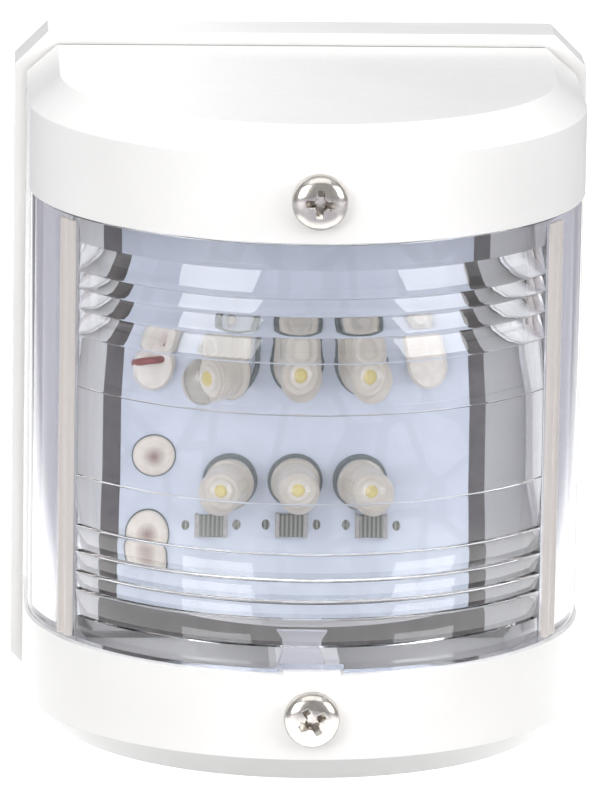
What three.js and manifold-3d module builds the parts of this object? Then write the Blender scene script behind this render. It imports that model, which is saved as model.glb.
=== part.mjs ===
import * as THREE from 'three';
import { mergeVertices } from 'three/addons/utils/BufferGeometryUtils.js';
import Module from 'manifold-3d';

// A wall-mounted navigation light in millimetres. The wall is the plane Y = 0, the light looks
// along -Y, Z is up, and the origin is the middle of the back plate's rear face.

// Driving dimensions
const housingWidth = 72;          // across the straight sides
const housingHeight = 85;         // top face to bottom face
const sideDepth = 20;             // straight side, from the back edge to where the nose starts
const noseRadius = housingWidth / 2;
const housingWall = 2.4;
const capHeight = 14.5;           // the opaque band above and below the window
const bevelDrop = 3.5;
const bevelRun = 4;
const rimDepth = 3.4;             // the two upright strips that join the caps
const plateDepth = 8.4;
const plateMargin = 1.5;          // how far the plate stands out past the housing
const plateWall = 2.4;
const plateChamfer = 4.3;
const sealThickness = 0.8;
const sealInset = 0.1;            // how far the seal's edge lies inside the housing's
const fitGap = 0.2;               // between flat faces that rest on each other
const clearance = 0.3;            // between fitted parts
const lensInset = 0.4;            // lens wall behind the housing's face
const lensWall = 3.4;
const railAngles = [59.2, 62];    // degrees from straight ahead
const railRadius = 0.95;
const railSink = 0.35;            // how far a rail's axis lies inside the lens face
const keyHalf = 3.65;             // half widths of the key, the notch above it and the tab
const notchHalf = 3.95;
const keyTop = -22.5;
const lipHeight = 1.6;            // the lens edge that is trapped inside each cap
const ribAngle = 57.2;            // half of the ribbed sector, in degrees
const ribs = [                    // each rib's outer edge, and its lean in degrees at both edges
  { edge: 5.7, near: 0, far: 0.5 },
  { edge: 12.3, near: 1, far: 8 },
  { edge: 15.7, near: 10, far: 26 },
  { edge: 18.4, near: 13, far: 26 },
  { edge: 20.7, near: 13, far: 25 },
  { edge: 24.4, near: 8, far: 22 },
];
const screwOffset = 33.5;         // screw axis above and below the middle
const screwDiameter = 3.5;
const screwLength = 14;
const headDiameter = 7.1;
const headHeight = 2.3;
const armWidth = 8;
const armHeight = 7;
const boardMiddle = -1.5;         // the board sits a little left of the housing's middle
const boardWidth = 43.8;
const boardBottom = -22;
const boardTop = 27;
const boardThickness = 1.6;
const boardDepth = 23.6;          // board face behind the tip of the nose
const ledPitch = 8.25;
const ledRows = { upper: 6.1, lower: -7.8 };
const ledDiameter = 5.4;
const ledHeight = 8.2;
const ledLean = {                 // degrees each lamp is turned away from straight ahead
  upper: { left: -42, middle: 3, right: 9 },
  lower: { left: -15, middle: 2, right: 13 },
};
const legSpacing = 1.27;          // each leg's distance from the lamp's axis
const backingMargin = 2.2;        // how far the dark sheet shows past the board's sides
const backingDrop = 2.0;          // and below its bottom edge
const backingThickness = 1;
const landDiameter = 5;
const wireLands = [{ x: -19.3, z: -4.6 }, { x: -19.9, z: -13.8 }];   // where the leads come through
const resistorPitch = 10.1;
const resistorHeight = -12.8;
const resistorShift = -0.4;       // from the board's middle
const diodePlace = { x: -9.5, z: 14 };
const rivetDiameter = 5.2;
const posts = { left: -19.6, right: 15.1 };
const postHeight = 6.3;
const keyMiddle = -1.2;           // the lens key, left of the housing's tab
const fixingSide = 26;            // wall screw holes, left and right of the middle
const cableDrop = -15;            // cable hole below the middle
const cableHoleDiameter = 8.6;
const fixingHole = 4.5;
const bossDiameter = 11;
const padDiameter = 14;           // centre pad and the boss round the cable hole
const pillarDiameter = 7;
const rivetHole = 3.6;
const leadHole = 2.2;
const insertDiameter = 5;
const insertDepth = 8.4;
const screwHole = 4.1;
const webHalf = 13;               // the thin web beside each screw arm
const webThickness = 2.4;
const webReach = 9;

// Places that follow from them
const halfHeight = housingHeight / 2;
const sealBack = -plateDepth - fitGap;
const housingBack = sealBack - sealThickness - fitGap;
const noseCentre = housingBack - sideDepth;
const noseTip = noseCentre - noseRadius;
const windowHalf = halfHeight - capHeight;
const rimFront = housingBack - rimDepth;
const lensInnerInset = lensInset + lensWall;
const boardFace = noseTip + boardDepth;
const boardRear = boardFace + boardThickness;
const armEnd = noseTip + 5.1;
const arcStep = 4;                // degrees between the points of a round stretch

const wasm = await Module();
wasm.setup();

function toSolid(geometry) {
  const bare = geometry.clone();
  bare.deleteAttribute('normal');
  bare.deleteAttribute('uv');
  const merged = mergeVertices(bare, 1e-4);
  const vertProperties = new Float32Array(merged.attributes.position.array);
  const triVerts = new Uint32Array(merged.index.array);
  return new wasm.Manifold(new wasm.Mesh({ numProp: 3, vertProperties, triVerts }));
}

function toGeometry(solid) {
  const mesh = solid.getMesh();
  const positions = new Float32Array(mesh.numVert * 3);
  for (let i = 0; i < mesh.numVert; i += 1) {
    for (let axis = 0; axis < 3; axis += 1) {
      positions[i * 3 + axis] = mesh.vertProperties[i * mesh.numProp + axis];
    }
  }
  const geometry = new THREE.BufferGeometry();
  geometry.setAttribute('position', new THREE.BufferAttribute(positions, 3));
  geometry.setIndex(new THREE.BufferAttribute(new Uint32Array(mesh.triVerts), 1));
  geometry.computeVertexNormals();
  return geometry;
}

// The first shape with the others joined on
function join(first, ...others) {
  return toGeometry(others.reduce((sum, other) => sum.add(toSolid(other)), toSolid(first)));
}

// The first shape with the others cut away
function cut(first, ...others) {
  return toGeometry(others.reduce((rest, other) => rest.subtract(toSolid(other)), toSolid(first)));
}

function boxBetween([x0, x1], [y0, y1], [z0, z1]) {
  const geometry = new THREE.BoxGeometry(Math.abs(x1 - x0), Math.abs(y1 - y0), Math.abs(z1 - z0));
  return geometry.translate((x0 + x1) / 2, (y0 + y1) / 2, (z0 + z1) / 2);
}

// A round bar along Y, which is the way the light looks
function barAlongY(diameter, [y0, y1], x, z, sides = 24) {
  const length = Math.abs(y1 - y0);
  const geometry = new THREE.CylinderGeometry(diameter / 2, diameter / 2, length, sides);
  return geometry.translate(x, (y0 + y1) / 2, z);
}

// A turned solid about Y, whose outline is [radius, y] pairs that run up the outside
function lathe(outline, sides) {
  return new THREE.LatheGeometry(outline.map(([radius, y]) => new THREE.Vector2(radius, y)), sides);
}

// The housing's plan, a straight-sided D, moved in by inset and starting at the back edge
function planOutline(inset, back) {
  const radius = noseRadius - inset;
  const points = [[-radius, back]];
  for (let angle = 180; angle <= 360; angle += arcStep) {
    const turn = THREE.MathUtils.degToRad(angle);
    points.push([radius * Math.cos(turn), noseCentre + radius * Math.sin(turn)]);
  }
  points.push([radius, back]);
  return points;
}

// A closed solid through level plans of one D, each with its own height and inset
function planLoft(levels, back = housingBack) {
  const rings = levels.map(({ z, inset }) => planOutline(inset, back).map(([x, y]) => [x, y, z]));
  const count = rings[0].length;
  const positions = rings.flat(2);
  const index = [];
  for (let level = 0; level < rings.length - 1; level += 1) {
    for (let i = 0; i < count; i += 1) {
      const a = level * count + i;
      const b = level * count + (i + 1) % count;
      index.push(a, b, b + count, a, b + count, a + count);
    }
  }
  const top = (rings.length - 1) * count;
  for (let i = 1; i < count - 1; i += 1) {
    index.push(0, i + 1, i);
    index.push(top, top + i, top + i + 1);
  }
  const geometry = new THREE.BufferGeometry();
  geometry.setAttribute('position', new THREE.Float32BufferAttribute(positions, 3));
  geometry.setIndex(index);
  return geometry;
}

// A rectangle with cut corners, standing upright and extruded along Y
function chamferedPanel(halfWidth, halfTall, chamfer, [front, back]) {
  const shape = new THREE.Shape();
  shape.moveTo(-halfWidth + chamfer, -halfTall);
  shape.lineTo(halfWidth - chamfer, -halfTall);
  shape.lineTo(halfWidth, -halfTall + chamfer);
  shape.lineTo(halfWidth, halfTall - chamfer);
  shape.lineTo(halfWidth - chamfer, halfTall);
  shape.lineTo(-halfWidth + chamfer, halfTall);
  shape.lineTo(-halfWidth, halfTall - chamfer);
  shape.lineTo(-halfWidth, -halfTall + chamfer);
  const geometry = new THREE.ExtrudeGeometry(shape, { depth: back - front, bevelEnabled: false });
  return geometry.rotateX(Math.PI / 2).translate(0, back, 0);
}

function backPlate() {
  const halfWidth = housingWidth / 2 + plateMargin;
  const halfTall = halfHeight + plateMargin;
  const front = -plateDepth;
  let body = chamferedPanel(halfWidth, halfTall, plateChamfer, [front, 0]);
  const hollow = chamferedPanel(
    halfWidth - plateWall, halfTall - plateWall, plateChamfer - 1, [front + plateWall, 1]);
  body = cut(body, hollow);
  const seat = front + 0.5;
  const bosses = [-1, 1].map((side) => barAlongY(bossDiameter, [0, seat], side * fixingSide, 0));
  const centrePad = barAlongY(padDiameter, [0, seat], 0, 0);
  const cableBoss = barAlongY(padDiameter, [seat, front + plateWall + 0.6], 0, cableDrop);
  const pillars = [posts.left, posts.right].map(
    (x) => barAlongY(pillarDiameter, [seat, boardRear + fitGap], x, postHeight));
  const arms = [-1, 1].map((side) => boxBetween(
    [-armWidth / 2, armWidth / 2],
    [seat, armEnd],
    [side * screwOffset - armHeight / 2, side * screwOffset + armHeight / 2]));
  const webs = [-1, 1].map((side) => boxBetween(
    [-webHalf, webHalf],
    [seat, front - webReach],
    [side * screwOffset - webThickness / 2, side * screwOffset + webThickness / 2]));
  body = join(body, ...bosses, centrePad, cableBoss, ...pillars, ...arms, ...webs);
  const fixingHoles = [-1, 1].map(
    (side) => barAlongY(fixingHole, [1, front - 1], side * fixingSide, 0));
  const insertBores = [-1, 1].map(
    (side) => barAlongY(insertDiameter + 2 * clearance, [armEnd + insertDepth, armEnd - 1], 0,
      side * screwOffset));
  const tipBores = [-1, 1].map(
    (side) => barAlongY(screwDiameter + 0.7, [armEnd + insertDepth + 3.6, armEnd + insertDepth - 0.4], 0,
      side * screwOffset));
  const rivetBores = [posts.left, posts.right].map(
    (x) => barAlongY(rivetHole, [boardRear + 9, boardRear - 1], x, postHeight));
  const cableHole = barAlongY(cableHoleDiameter, [1, front - 1], 0, cableDrop);
  return cut(body, ...fixingHoles, ...insertBores, ...tipBores, ...rivetBores, cableHole);
}

// The housing's outline at its back edge, where the bevels cut the corners, moved out or in
function housingBackPanel(outset, [front, back]) {
  const shape = new THREE.Shape();
  const halfWidth = noseRadius + outset;
  const halfTall = halfHeight + outset;
  const corners = [
    [halfWidth - bevelRun, -halfTall], [halfWidth, -halfTall + bevelDrop],
    [halfWidth, halfTall - bevelDrop], [halfWidth - bevelRun, halfTall],
    [-halfWidth + bevelRun, halfTall], [-halfWidth, halfTall - bevelDrop],
    [-halfWidth, -halfTall + bevelDrop], [-halfWidth + bevelRun, -halfTall],
  ];
  corners.forEach(([x, y], i) => (i === 0 ? shape.moveTo(x, y) : shape.lineTo(x, y)));
  const geometry = new THREE.ExtrudeGeometry(shape, { depth: back - front, bevelEnabled: false });
  return geometry.rotateX(Math.PI / 2).translate(0, back, 0);
}

function housingSeal() {
  const faces = [sealBack - sealThickness, sealBack];
  const ring = housingBackPanel(-sealInset, faces);
  return cut(ring, housingBackPanel(-housingWall - 0.6, [faces[0] - 1, faces[1] + 1]));
}

function housingFrame() {
  const outer = planLoft([
    { z: -halfHeight, inset: bevelRun },
    { z: -halfHeight + bevelDrop, inset: 0 },
    { z: halfHeight - bevelDrop, inset: 0 },
    { z: halfHeight, inset: bevelRun },
  ]);
  const inner = planLoft([
    { z: -halfHeight + housingWall, inset: housingWall + bevelRun - 1 },
    { z: -halfHeight + housingWall + bevelDrop - 1, inset: housingWall },
    { z: halfHeight - housingWall - bevelDrop + 1, inset: housingWall },
    { z: halfHeight - housingWall, inset: housingWall + bevelRun - 1 },
  ], housingBack + 1);
  const window = boxBetween([-40, 40], [rimFront, noseTip - 2], [-windowHalf, windowHalf]);
  const holes = [-1, 1].map(
    (side) => barAlongY(screwHole, [noseTip + 5, noseTip - 2], 0, side * screwOffset));
  const tabFoot = -windowHalf - 0.5;
  const tab = boxBetween(
    [-keyHalf, keyHalf], [noseTip + 0.1, noseTip + housingWall - 0.3], [tabFoot, -windowHalf + 0.45]);
  return join(cut(outer, inner, window, ...holes), tab);
}

// Where the ribbed face lies at each height: every rib leans back as it goes away from the
// middle, and the face comes back out to its full radius where the next one starts
function ribProfile() {
  const ridge = noseRadius - lensInset - 0.05;
  const steps = 2;
  const riser = 0.1;
  const upper = [];
  let start = 0;
  for (const { edge, near, far } of ribs) {
    const height = edge - start;
    let radius = ridge;
    for (let step = 0; step <= steps; step += 1) {
      if (step > 0) {
        const lean = near + (far - near) * (step - 0.5) / steps;
        radius -= Math.tan(THREE.MathUtils.degToRad(lean)) * height / steps;
      }
      upper.push([radius, start + height * step / steps + (step === 0 && start > 0 ? riser : 0)]);
    }
    start = edge;
  }
  const lower = upper.slice(1).reverse().map(([radius, z]) => [radius, -z]);
  return [...lower, ...upper];
}

function lens() {
  const face = windowHalf - clearance;
  const back = rimFront - clearance;
  const lipInset = housingWall + clearance;
  const lip = windowHalf + lipHeight;
  let body = join(
    planLoft([{ z: -face, inset: lensInset }, { z: face, inset: lensInset }], back),
    planLoft([{ z: -lip, inset: lipInset }, { z: lip, inset: lipInset }], back));
  const bore = planLoft(
    [{ z: -lip - 1, inset: lensInnerInset }, { z: lip + 1, inset: lensInnerInset }], back + 5);
  body = cut(body, bore);

  // The cutter is a ring whose inside is the ribbed face, over the front sector only
  const profile = ribProfile();
  const first = profile[0];
  const last = profile[profile.length - 1];
  const clear = noseRadius + 2;
  const section = [[clear, first[1]], [clear, last[1]], ...profile.reverse(), [clear, first[1]]];
  const start = THREE.MathUtils.degToRad(180 - ribAngle);
  const ring = lathe(section, 360 / arcStep);
  ring.rotateX(Math.PI / 2).translate(0, noseCentre, 0);
  const wedge = new THREE.Shape();
  wedge.moveTo(0, 0);
  for (let step = 0; step <= 6; step += 1) {
    const turn = start + (step / 6) * 2 * THREE.MathUtils.degToRad(ribAngle);
    wedge.lineTo(50 * Math.sin(turn), 50 * Math.cos(turn));
  }
  const sector = new THREE.ExtrudeGeometry(wedge, { depth: 70, bevelEnabled: false });
  sector.translate(0, noseCentre, -35);
  const cutter = toGeometry(toSolid(ring).intersect(toSolid(sector)));
  body = cut(body, cutter);

  // Upright fluted rails where the ribs end
  const rails = [-1, 1].flatMap((side) => railAngles.map((angle) => {
    const turn = THREE.MathUtils.degToRad(angle);
    const rail = new THREE.CylinderGeometry(railRadius, railRadius, 2 * face - 1, 12);
    const radius = noseRadius - lensInset - railSink;
    rail.rotateX(Math.PI / 2);
    return rail.translate(side * radius * Math.sin(turn), noseCentre - radius * Math.cos(turn), 0);
  }));
  const inside = noseCentre - (noseRadius - lensInnerInset);
  const key = boxBetween(
    [keyMiddle - keyHalf, keyMiddle + keyHalf], [inside + 1.8, inside - 0.8], [-lip, keyTop]);
  const notch = boxBetween(
    [-notchHalf, notchHalf], [inside + 0.5, noseTip - 2], [-lip - 1, -windowHalf + 0.75]);
  return cut(join(body, ...rails, key), notch);
}

// A cross-recessed pan head screw, its head towards -Y and its seat at Y = 0
function screw() {
  const radius = headDiameter / 2;
  const shank = screwDiameter / 2;
  const points = [
    [0, screwLength], [shank - 0.6, screwLength], [shank, screwLength - 0.8], [shank, 0],
    [radius - 0.15, 0], [radius, -0.25], [radius, -0.9], [radius * 0.93, -1.45],
    [radius * 0.75, -1.95], [radius * 0.45, -headHeight + 0.08], [0, -headHeight],
  ];
  const body = lathe(points.reverse(), 28);
  const slots = [
    boxBetween([-2.1, 2.1], [-headHeight - 1, -headHeight + 1.3], [-0.45, 0.45]),
    boxBetween([-0.45, 0.45], [-headHeight - 1, -headHeight + 1.3], [-2.1, 2.1]),
  ];
  return cut(body, ...slots);
}

function screwRing() {
  return cut(barAlongY(6.2, [-0.9, 0.9], 0, 0), barAlongY(4.3, [-2, 2], 0, 0));
}

function insert() {
  const points = [[2, 0], [2.5, 0.4], [2.5, 3], [2.2, 3.4], [2.2, 4.4], [2.5, 4.8], [2.5, 7.6], [2, 8]];
  return lathe([...points, points[0]], 24);
}

function circuitBoard() {
  const faces = [boardFace, boardRear];
  const sides = [boardMiddle - boardWidth / 2, boardMiddle + boardWidth / 2];
  const panel = boxBetween(sides, faces, [boardBottom, boardTop]);
  const holes = [posts.left, posts.right].map(
    (x) => barAlongY(rivetHole, [boardFace - 1, boardRear + 1], x, postHeight, 16));
  const wireHoles = wireLands.map(
    ({ x, z }) => barAlongY(leadHole, [boardFace - 1, boardRear + 1], x, z, 12));
  return cut(panel, ...holes, ...wireHoles);
}

// The dark sheet behind the board, which shows as a border on three sides
function boardBacking() {
  const halfWidth = boardWidth / 2 + backingMargin;
  const faces = [boardRear + fitGap, boardRear + fitGap + backingThickness];
  const sides = [boardMiddle - halfWidth, boardMiddle + halfWidth];
  const sheet = boxBetween(sides, faces, [boardBottom - backingDrop, boardTop]);
  const through = [boardRear - 1, boardRear + 3];
  const pillarHoles = [posts.left, posts.right].map((x) => barAlongY(7.6, through, x, postHeight));
  const leadHoles = wireLands.map(({ x, z }) => barAlongY(2.6, through, x, z, 12));
  const diodeHole = boxBetween(
    [diodePlace.x - 2.6, diodePlace.x + 2.6], through, [diodePlace.z - 2.2, diodePlace.z + 2.2]);
  return cut(sheet, ...pillarHoles, ...leadHoles, diodeHole);
}

// A round clear lamp with a flange and a domed front, leaning sideways on its two wire legs
function led(lean) {
  const radius = ledDiameter / 2;
  const flange = radius + 0.45;
  const turn = THREE.MathUtils.degToRad(lean);
  const lift = flange * Math.sin(Math.abs(turn)) + 0.3;
  const body = lamp(radius, flange).rotateZ(turn).translate(0, -lift, 0);
  const reach = -lift - legSpacing * Math.tan(Math.abs(turn)) - 0.6;
  const legs = [-1, 1].map((side) => barAlongY(0.6, [0, reach], side * legSpacing, 0, 8));
  return join(body, ...legs);
}

function lamp(radius, flange) {
  const points = [[0, 0], [flange, 0], [flange, -0.9], [radius, -0.9]];
  const shoulder = ledHeight - radius;
  for (let step = 0; step <= 6; step += 1) {
    const turn = THREE.MathUtils.degToRad(15 * step);
    points.push([radius * Math.cos(turn), -shoulder - radius * Math.sin(turn)]);
  }
  points[points.length - 1][0] = 0;
  return lathe(points.reverse(), 20);
}

function resistor() {
  return boxBetween([-2.05, 2.05], [-0.6, 0], [-1.2, 1.2]);
}

function boardRivet() {
  const head = rivetDiameter / 2;
  const points = [
    [0, boardThickness + 7], [1, boardThickness + 7], [1.5, boardThickness + 6], [1.5, -0.15],
    [head, -0.15], [head, -1.2], [head - 0.4, -1.7], [0, -1.9],
  ];
  return lathe(points.reverse(), 20);
}

function solderJoint() {
  const radius = landDiameter / 2;
  const points = [
    [0, -0.12], [radius, -0.12], [radius, -0.3], [radius * 0.6, -0.55],
    [radius * 0.25, -0.9], [radius * 0.2, -1.3], [0, -1.3],
  ];
  return lathe(points.reverse(), 16);
}

// An insulated lead from its land in the board, down and back into the grommet
function lead(land, side) {
  const gland = -plateDepth + 2;
  const points = [
    new THREE.Vector3(land.x, boardFace + 0.3, land.z),
    new THREE.Vector3(land.x, boardRear + 3, land.z),
    new THREE.Vector3(land.x + 2, boardRear + 7.5, land.z - 3),
    new THREE.Vector3(-9 + side * 2, boardRear + 12, -19 + side * 2),
    new THREE.Vector3(side * 1.3 - 1.5, -plateDepth - 12, cableDrop - 1.2),
    new THREE.Vector3(side * 1.3, -plateDepth - 5, cableDrop),
    new THREE.Vector3(side * 1.3, gland, cableDrop),
  ];
  const path = new THREE.CatmullRomCurve3(points, false, 'centripetal');
  const section = new THREE.Shape();
  section.absarc(0, 0, 0.8, 0, 2 * Math.PI);
  return new THREE.ExtrudeGeometry(section, { steps: 26, curveSegments: 4, extrudePath: path });
}

function cableGrommet() {
  const front = -plateDepth;
  const body = join(
    barAlongY(8, [0.4 - plateWall, front - 1.6], 0, cableDrop),
    barAlongY(11.5, [front - fitGap, front - 1.8], 0, cableDrop));
  const ways = [-1, 1].map((side) => barAlongY(2.1, [2, front - 4], side * 1.3, cableDrop, 16));
  return cut(body, ...ways);
}

function polarityDiode() {
  return boxBetween([-2.1, 2.1], [0, 2.2], [-1.7, 1.7]);
}

const white = new THREE.MeshStandardMaterial({ color: '#f4f3f1', roughness: 0.25, metalness: 0 });
const steel = new THREE.MeshStandardMaterial({ color: '#b9b4ae', roughness: 0.2, metalness: 1 });
const brass = new THREE.MeshStandardMaterial({ color: '#c9a24b', roughness: 0.3, metalness: 1 });
const rubber = new THREE.MeshStandardMaterial({ color: '#3c3c3e', roughness: 0.8, metalness: 0 });
const clear = new THREE.MeshStandardMaterial({ color: '#dfe3ea', roughness: 0.05, metalness: 0 });
const board = new THREE.MeshStandardMaterial({ color: '#c8cddb', roughness: 0.45, metalness: 0 });
const epoxy = new THREE.MeshStandardMaterial({ color: '#e6dfae', roughness: 0.05, metalness: 0 });
const chip = new THREE.MeshStandardMaterial({ color: '#4a4c46', roughness: 0.5, metalness: 0 });
const fibre = new THREE.MeshStandardMaterial({ color: '#3d3936', roughness: 0.7, metalness: 0 });
const nylon = new THREE.MeshStandardMaterial({ color: '#ece9e4', roughness: 0.5, metalness: 0 });
const solder = new THREE.MeshStandardMaterial({ color: '#cfc8bb', roughness: 0.35, metalness: 0.8 });
const redWire = new THREE.MeshStandardMaterial({ color: '#a8322b', roughness: 0.5, metalness: 0 });
const blackWire = new THREE.MeshStandardMaterial({ color: '#202022', roughness: 0.5, metalness: 0 });

const light = new THREE.Group();

function place(name, geometry, material, x = 0, y = 0, z = 0) {
  const mesh = new THREE.Mesh(geometry, material.clone());
  mesh.name = name;
  mesh.position.set(x, y, z);
  light.add(mesh);
}

place('back_plate', backPlate(), white);
place('housing_seal', housingSeal(), rubber);
place('housing_frame', housingFrame(), white);
place('lens', lens(), clear);
place('circuit_board', circuitBoard(), board);
place('board_backing', boardBacking(), fibre);

for (const [name, side] of [['upper', 1], ['lower', -1]]) {
  const z = side * screwOffset;
  place(`screw_${name}`, screw(), steel, 0, noseTip - 0.05, z);
  place(`screw_ring_${name}`, screwRing(), rubber, 0, armEnd - 1.2, z);
  place(`insert_${name}`, insert(), brass, 0, armEnd + 0.1, z);
}

for (const row of ['upper', 'lower']) {
  for (const [column, across] of [['left', -1], ['middle', 0], ['right', 1]]) {
    const x = boardMiddle + across * ledPitch;
    const shape = led(ledLean[row][column]);
    place(`led_${row}_${column}`, shape, epoxy, x, boardFace - fitGap, ledRows[row]);
  }
}

for (const [column, across] of [['left', -1], ['middle', 0], ['right', 1]]) {
  const x = boardMiddle + resistorShift + across * resistorPitch;
  place(`resistor_${column}`, resistor(), chip, x, boardFace - 0.15, resistorHeight);
}

for (const [name, x] of Object.entries(posts)) {
  place(`board_rivet_${name}`, boardRivet(), nylon, x, boardFace, postHeight);
}

place('solder_joint_upper', solderJoint(), solder, wireLands[0].x, boardFace, wireLands[0].z);
place('solder_joint_lower', solderJoint(), solder, wireLands[1].x, boardFace, wireLands[1].z);
place('lead_red', lead(wireLands[0], 1), redWire);
place('lead_black', lead(wireLands[1], -1), blackWire);
place('cable_grommet', cableGrommet(), rubber);
place('polarity_diode', polarityDiode(), chip, diodePlace.x, boardRear + 0.15, diodePlace.z);

export default light;
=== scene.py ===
from math import cos, pi, radians, sin, tan

import bmesh
import bpy
from mathutils import Matrix, Vector


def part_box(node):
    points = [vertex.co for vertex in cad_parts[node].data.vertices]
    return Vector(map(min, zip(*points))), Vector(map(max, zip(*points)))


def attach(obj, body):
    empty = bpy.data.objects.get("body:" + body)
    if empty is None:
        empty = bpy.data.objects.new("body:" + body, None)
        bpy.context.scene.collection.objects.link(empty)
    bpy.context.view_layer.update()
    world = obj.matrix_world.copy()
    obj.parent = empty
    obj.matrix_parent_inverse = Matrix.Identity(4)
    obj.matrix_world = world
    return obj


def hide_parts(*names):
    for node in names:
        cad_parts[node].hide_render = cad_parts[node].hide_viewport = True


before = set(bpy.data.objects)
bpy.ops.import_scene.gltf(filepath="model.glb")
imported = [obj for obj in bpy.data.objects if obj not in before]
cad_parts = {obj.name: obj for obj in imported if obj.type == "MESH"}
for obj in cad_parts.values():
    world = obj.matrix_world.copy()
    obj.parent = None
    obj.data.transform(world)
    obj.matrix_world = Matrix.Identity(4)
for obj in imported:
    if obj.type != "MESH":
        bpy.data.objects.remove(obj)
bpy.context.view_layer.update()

mm = 0.001

# The light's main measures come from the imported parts, in metres
plateLow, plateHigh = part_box("back_plate")
housingLow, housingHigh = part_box("housing_frame")
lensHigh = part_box("lens")[1]
boardLow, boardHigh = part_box("circuit_board")
noseRadius = housingHigh.x
noseTip = housingLow.y
noseCentre = noseTip + noseRadius
housingBack = housingHigh.y
halfHeight = housingHigh.z
capHeight = 14.5 * mm
windowHalf = halfHeight - capHeight


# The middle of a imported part
def middle(node):
    low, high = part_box(node)
    return (low + high) / 2


screwHeight = middle("screw_upper").z
boardMiddle = middle("circuit_board").x
postPlaces = [middle("board_rivet_left"), middle("board_rivet_right")]
columns = {"left": -1, "middle": 0, "right": 1}
rows = ("upper", "lower")


def deselectAll():
    if bpy.context.object and bpy.context.object.mode == "EDIT":
        bpy.ops.object.mode_set(mode="OBJECT")
    bpy.ops.object.select_all(action="DESELECT")


def activate(piece):
    deselectAll()
    piece.select_set(True)
    bpy.context.view_layer.objects.active = piece


def startEdit(piece, elements="FACE"):
    activate(piece)
    bpy.ops.object.mode_set(mode="EDIT")
    bpy.ops.mesh.select_mode(type=elements)
    bpy.ops.mesh.select_all(action="DESELECT")


def endEdit():
    bpy.ops.object.mode_set(mode="OBJECT")


# Puts a fresh primitive's place into its mesh and leaves it named
def settle(name):
    piece = bpy.context.object
    piece.name = name
    piece.data.name = name
    bpy.ops.object.transform_apply(location=True, rotation=True, scale=True)
    return piece


def selectFaces(test):
    mesh = bmesh.from_edit_mesh(bpy.context.object.data)
    for face in mesh.faces:
        face.select_set(False)
    for face in mesh.faces:
        if test(face.calc_center_median(), face.normal):
            face.select_set(True)
    bmesh.update_edit_mesh(bpy.context.object.data)


def selectEdges(test):
    mesh = bmesh.from_edit_mesh(bpy.context.object.data)
    for edge in mesh.edges:
        edge.select_set(False)
    for edge in mesh.edges:
        if test(edge.verts[0].co, edge.verts[1].co):
            edge.select_set(True)
    bmesh.update_edit_mesh(bpy.context.object.data)


def block(name, low, high):
    deselectAll()
    bpy.ops.mesh.primitive_cube_add(size=1, location=[(a + b) / 2 for a, b in zip(low, high)])
    bpy.context.object.scale = [b - a for a, b in zip(low, high)]
    return settle(name)


# A round bar along the way the light looks, from one depth to another
def bar(name, diameter, depths, x, z, sides=48):
    deselectAll()
    bpy.ops.mesh.primitive_cylinder_add(
        vertices=sides, radius=diameter / 2, depth=abs(depths[1] - depths[0]),
        location=(x, sum(depths) / 2, z), rotation=(pi / 2, 0, 0))
    return settle(name)


# A corner is drawn out from point to point; filled makes the closed outline one face
def drawOutline(name, points, filled=False):
    deselectAll()
    bpy.ops.mesh.primitive_plane_add(size=mm, location=points[0])
    piece = settle(name)
    startEdit(piece, "VERT")
    bpy.ops.mesh.select_all(action="SELECT")
    bpy.ops.mesh.merge(type="CENTER")
    for here, there in zip(points, points[1:]):
        step = Vector(there) - Vector(here)
        bpy.ops.mesh.extrude_vertices_move(TRANSFORM_OT_translate={"value": step})
    if filled:
        bpy.ops.mesh.select_all(action="SELECT")
        bpy.ops.mesh.edge_face_add()
    endEdit()
    return piece


def cleanMesh(piece, distance=0.002 * mm):
    startEdit(piece, "VERT")
    bpy.ops.mesh.select_all(action="SELECT")
    bpy.ops.mesh.remove_doubles(threshold=distance)
    bpy.ops.mesh.select_all(action="SELECT")
    bpy.ops.mesh.normals_make_consistent(inside=False)
    endEdit()


# Turns a [radius, depth] outline round an axis along Y
def turned(name, outline, x=0, z=0, steps=48):
    piece = drawOutline(name, [(x + radius, depth, z) for radius, depth in outline])
    startEdit(piece, "VERT")
    bpy.ops.mesh.select_all(action="SELECT")
    bpy.ops.mesh.spin(steps=steps, angle=2 * pi, center=(x, 0, z), axis=(0, 1, 0))
    endEdit()
    cleanMesh(piece)
    return piece


def applyModifier(piece, kind, **settings):
    activate(piece)
    modifier = piece.modifiers.new("shape", kind)
    for name, value in settings.items():
        setattr(modifier, name, value)
    bpy.ops.object.modifier_apply(modifier="shape")


def combine(piece, others, operation="UNION"):
    for other in others:
        applyModifier(piece, "BOOLEAN", object=other, operation=operation, solver="EXACT",
                      material_mode="TRANSFER")
        bpy.data.objects.remove(other)
    return piece


def cutAway(piece, others):
    return combine(piece, others, "DIFFERENCE")


# Moulded edges are never knife sharp: a small round on each, then smooth faces between them
def soften(piece, width, segments=2, corner=30, smooth=35):
    applyModifier(piece, "BEVEL", width=width, segments=segments, limit_method="ANGLE",
                  angle_limit=radians(corner), use_clamp_overlap=True)
    shade(piece, smooth)
    applyModifier(piece, "WEIGHTED_NORMAL", keep_sharp=True, weight=50)


def shade(piece, smooth=35):
    activate(piece)
    bpy.ops.object.shade_smooth_by_angle(angle=radians(smooth))


def copyPiece(piece, name):
    twin = piece.copy()
    twin.data = piece.data.copy()
    twin.name = name
    twin.data.name = name
    bpy.context.scene.collection.objects.link(twin)
    return twin


# Moves a piece with its mesh, so that its object stays at the origin
def shift(piece, x=0, y=0, z=0, turn=0, axis="Z"):
    activate(piece)
    piece.matrix_world = Matrix.Translation((x, y, z)) @ Matrix.Rotation(turn, 4, axis)
    bpy.ops.object.transform_apply(location=True, rotation=True, scale=True)
    return piece


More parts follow.
